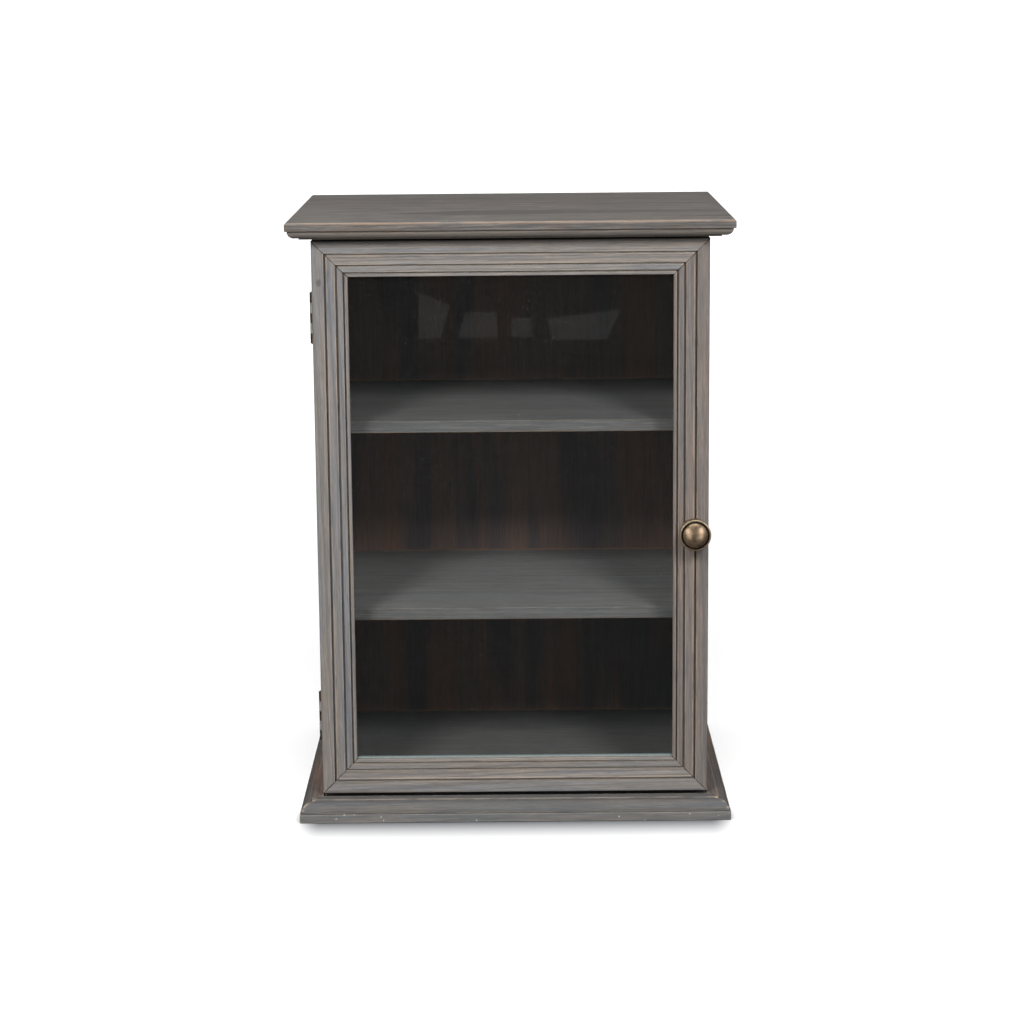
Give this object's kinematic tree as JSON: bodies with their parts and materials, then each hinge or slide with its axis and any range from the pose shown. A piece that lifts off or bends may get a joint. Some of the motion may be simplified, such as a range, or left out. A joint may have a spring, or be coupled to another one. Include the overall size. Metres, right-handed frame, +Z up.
{
  "type": "display case",
  "caption": "Table-top wooden display case with a glazed door on butt hinges, fixed shelves, a moulded crown and base, a magnetic catch and a mushroom knob.",
  "frame": {"origin": "middle of the footprint of the top board, on the surface that the case stands on", "axes": "+X to the right, +Y towards the back, +Z up; the door faces -Y"},
  "size_m": [0.434, 0.365, 0.6],
  "materials": {
    "washed_frame": "grey wash rubbed back to tan along the edges",
    "washed_top_and_base": "darker grey wash, worn along the edges",
    "washed_carcass": "even grey wash",
    "stained_back": "dark brown-grey stain over upright grain",
    "glass": "clear float glass",
    "bronze_hinge": "dark bronzed",
    "antique_brass": "antique brass, dark in the recesses and rubbed bright on the rim",
    "zinc_steel": "zinc-plated",
    "catch_plastic": "moulded brown",
    "magnet": "dark grey ferrite"
  },
  "bodies": {
    "case": {"base_board": "washed_top_and_base", "base_front_moulding": "washed_top_and_base", "base_left_moulding": "washed_top_and_base", "base_right_moulding": "washed_top_and_base", "case_floor": "washed_carcass", "left_side": "washed_carcass", "right_side": "washed_carcass", "case_top": "washed_carcass", "top_board": "washed_top_and_base", "crown_front_moulding": "washed_frame", "crown_left_moulding": "washed_frame", "crown_right_moulding": "washed_frame", "back_panel": "stained_back", "upper_shelf": "washed_carcass", "lower_shelf": "washed_carcass", "upper_hinge_case_leaf": "bronze_hinge", "lower_hinge_case_leaf": "bronze_hinge", "upper_hinge_pin": "bronze_hinge", "lower_hinge_pin": "bronze_hinge", "hinge_case_screws": "bronze_hinge", "catch_body": "catch_plastic", "catch_magnet": "magnet", "catch_pole_plates": "zinc_steel", "catch_screws": "zinc_steel"},
    "door": {"left_stile": "washed_frame", "right_stile": "washed_frame", "top_rail": "washed_frame", "bottom_rail": "washed_frame", "glass_pane": "glass", "left_bead": "washed_frame", "right_bead": "washed_frame", "top_bead": "washed_frame", "bottom_bead": "washed_frame", "upper_hinge_door_leaf": "bronze_hinge", "lower_hinge_door_leaf": "bronze_hinge", "hinge_door_screws": "bronze_hinge", "strike_plate": "zinc_steel", "strike_screw": "zinc_steel", "knob": "antique_brass", "knob_screw": "zinc_steel"}
  },
  "joints": [
    {"name": "door_hinge", "type": "hinge", "parent": "case", "child": "door", "pos_m": [-0.19415, -0.1377, 0.3022], "axis": [0, 0, -1], "range_deg": [0, 180]}
  ]
}
